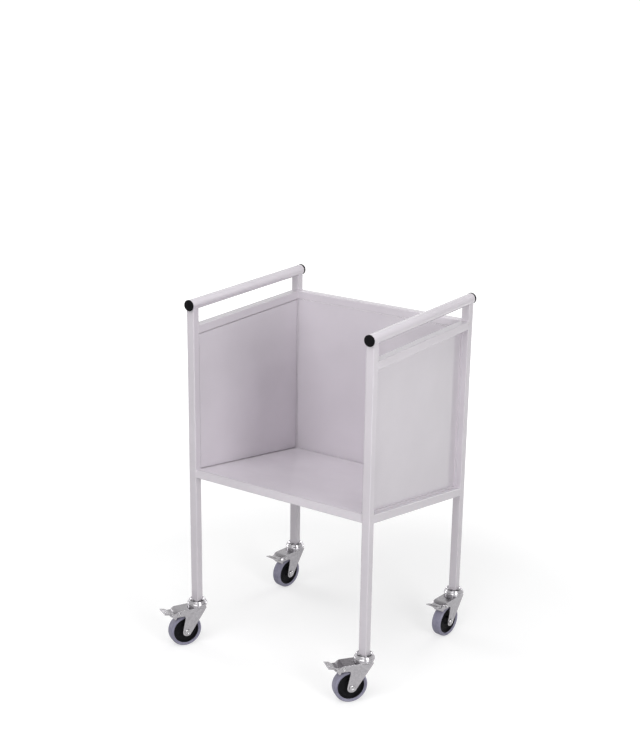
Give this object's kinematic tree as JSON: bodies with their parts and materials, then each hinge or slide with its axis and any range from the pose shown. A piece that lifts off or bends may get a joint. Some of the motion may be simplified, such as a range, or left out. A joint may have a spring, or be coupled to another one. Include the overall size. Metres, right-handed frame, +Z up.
{
  "type": "medical chart rack",
  "caption": "Wheeled chart rack: square-tube frame with three sheet walls, a shelf sloping to the back, round push handles at the sides and braked swivel castors.",
  "frame": {"origin": "on the floor, under the middle of the outline with the castors as pictured", "axes": "+Z up, -Y towards the open front, +X to the right of someone facing that front"},
  "size_m": [0.5668, 0.5316, 0.866],
  "materials": {
    "powder_coat": "semi-gloss pale grey powder coat with a faint mauve tint",
    "black_plastic": "moulded black plastic",
    "grey_tyre": "matt blue-grey rubber",
    "zinc_plate": "bright zinc-plated pressed steel",
    "bright_steel": "bright turned steel"
  },
  "bodies": {
    "frame": {"front_left_post": "powder_coat", "front_right_post": "powder_coat", "back_left_post": "powder_coat", "back_right_post": "powder_coat", "left_top_rail": "powder_coat", "right_top_rail": "powder_coat", "back_top_rail": "powder_coat", "left_handle": "powder_coat", "right_handle": "powder_coat", "left_handle_front_plug": "black_plastic", "left_handle_back_plug": "black_plastic", "right_handle_front_plug": "black_plastic", "right_handle_back_plug": "black_plastic", "left_panel": "powder_coat", "right_panel": "powder_coat", "back_panel": "powder_coat", "front_shelf_rail": "powder_coat", "back_shelf_rail": "powder_coat", "left_shelf_rail": "powder_coat", "right_shelf_rail": "powder_coat", "shelf": "powder_coat", "front_left_castor_stem": "zinc_plate", "front_left_castor_swivel_cup": "zinc_plate", "front_right_castor_stem": "zinc_plate", "front_right_castor_swivel_cup": "zinc_plate", "back_left_castor_stem": "zinc_plate", "back_left_castor_swivel_cup": "zinc_plate", "back_right_castor_stem": "zinc_plate", "back_right_castor_swivel_cup": "zinc_plate"},
    "front_left_fork": {"front_left_castor_ball_race": "bright_steel", "front_left_castor_fork": "zinc_plate", "front_left_castor_axle_bolt": "bright_steel", "front_left_castor_pedal_pin": "bright_steel"},
    "front_left_wheel": {"front_left_castor_wheel_core": "black_plastic", "front_left_castor_tyre": "grey_tyre"},
    "front_left_pedal": {"front_left_castor_brake_pedal": "zinc_plate"},
    "front_right_fork": {"front_right_castor_ball_race": "bright_steel", "front_right_castor_fork": "zinc_plate", "front_right_castor_axle_bolt": "bright_steel", "front_right_castor_pedal_pin": "bright_steel"},
    "front_right_wheel": {"front_right_castor_wheel_core": "black_plastic", "front_right_castor_tyre": "grey_tyre"},
    "front_right_pedal": {"front_right_castor_brake_pedal": "zinc_plate"},
    "back_left_fork": {"back_left_castor_ball_race": "bright_steel", "back_left_castor_fork": "zinc_plate", "back_left_castor_axle_bolt": "bright_steel", "back_left_castor_pedal_pin": "bright_steel"},
    "back_left_wheel": {"back_left_castor_wheel_core": "black_plastic", "back_left_castor_tyre": "grey_tyre"},
    "back_left_pedal": {"back_left_castor_brake_pedal": "zinc_plate"},
    "back_right_fork": {"back_right_castor_ball_race": "bright_steel", "back_right_castor_fork": "zinc_plate", "back_right_castor_axle_bolt": "bright_steel", "back_right_castor_pedal_pin": "bright_steel"},
    "back_right_wheel": {"back_right_castor_wheel_core": "black_plastic", "back_right_castor_tyre": "grey_tyre"},
    "back_right_pedal": {"back_right_castor_brake_pedal": "zinc_plate"}
  },
  "joints": [
    {"name": "front_left_swivel", "type": "hinge", "parent": "frame", "child": "front_left_fork", "pos_m": [-0.22307, -0.17665, 0.098], "axis": [0, 0, 1], "continuous": true},
    {"name": "front_left_roll", "type": "hinge", "parent": "front_left_fork", "child": "front_left_wheel", "pos_m": [-0.23955, -0.20638, 0.04], "axis": [0.8746, -0.4848, 0], "continuous": true},
    {"name": "front_left_brake", "type": "hinge", "parent": "front_left_fork", "child": "front_left_pedal", "pos_m": [-0.24925, -0.22388, 0.09], "axis": [0.8746, -0.4848, 0], "range_deg": [0, 12]},
    {"name": "front_right_swivel", "type": "hinge", "parent": "frame", "child": "front_right_fork", "pos_m": [0.25893, -0.17665, 0.098], "axis": [0, 0, 1], "continuous": true},
    {"name": "front_right_roll", "type": "hinge", "parent": "front_right_fork", "child": "front_right_wheel", "pos_m": [0.238, -0.20344, 0.04], "axis": [0.788, -0.6157, 0], "continuous": true},
    {"name": "front_right_brake", "type": "hinge", "parent": "front_right_fork", "child": "front_right_pedal", "pos_m": [0.22568, -0.2192, 0.09], "axis": [0.788, -0.6157, 0], "range_deg": [0, 12]},
    {"name": "back_left_swivel", "type": "hinge", "parent": "frame", "child": "back_left_fork", "pos_m": [-0.22307, 0.24135, 0.098], "axis": [0, 0, 1], "continuous": true},
    {"name": "back_left_roll", "type": "hinge", "parent": "back_left_fork", "child": "back_left_wheel", "pos_m": [-0.2278, 0.20768, 0.04], "axis": [0.9903, -0.1392, 0], "continuous": true},
    {"name": "back_left_brake", "type": "hinge", "parent": "back_left_fork", "child": "back_left_pedal", "pos_m": [-0.23059, 0.18788, 0.09], "axis": [0.9903, -0.1392, 0], "range_deg": [0, 12]},
    {"name": "back_right_swivel", "type": "hinge", "parent": "frame", "child": "back_right_fork", "pos_m": [0.25893, 0.24135, 0.098], "axis": [0, 0, 1], "continuous": true},
    {"name": "back_right_roll", "type": "hinge", "parent": "back_right_fork", "child": "back_right_wheel", "pos_m": [0.25538, 0.20754, 0.04], "axis": [0.9945, -0.1045, 0], "continuous": true},
    {"name": "back_right_brake", "type": "hinge", "parent": "back_right_fork", "child": "back_right_pedal", "pos_m": [0.25329, 0.18765, 0.09], "axis": [0.9945, -0.1045, 0], "range_deg": [0, 12]}
  ]
}
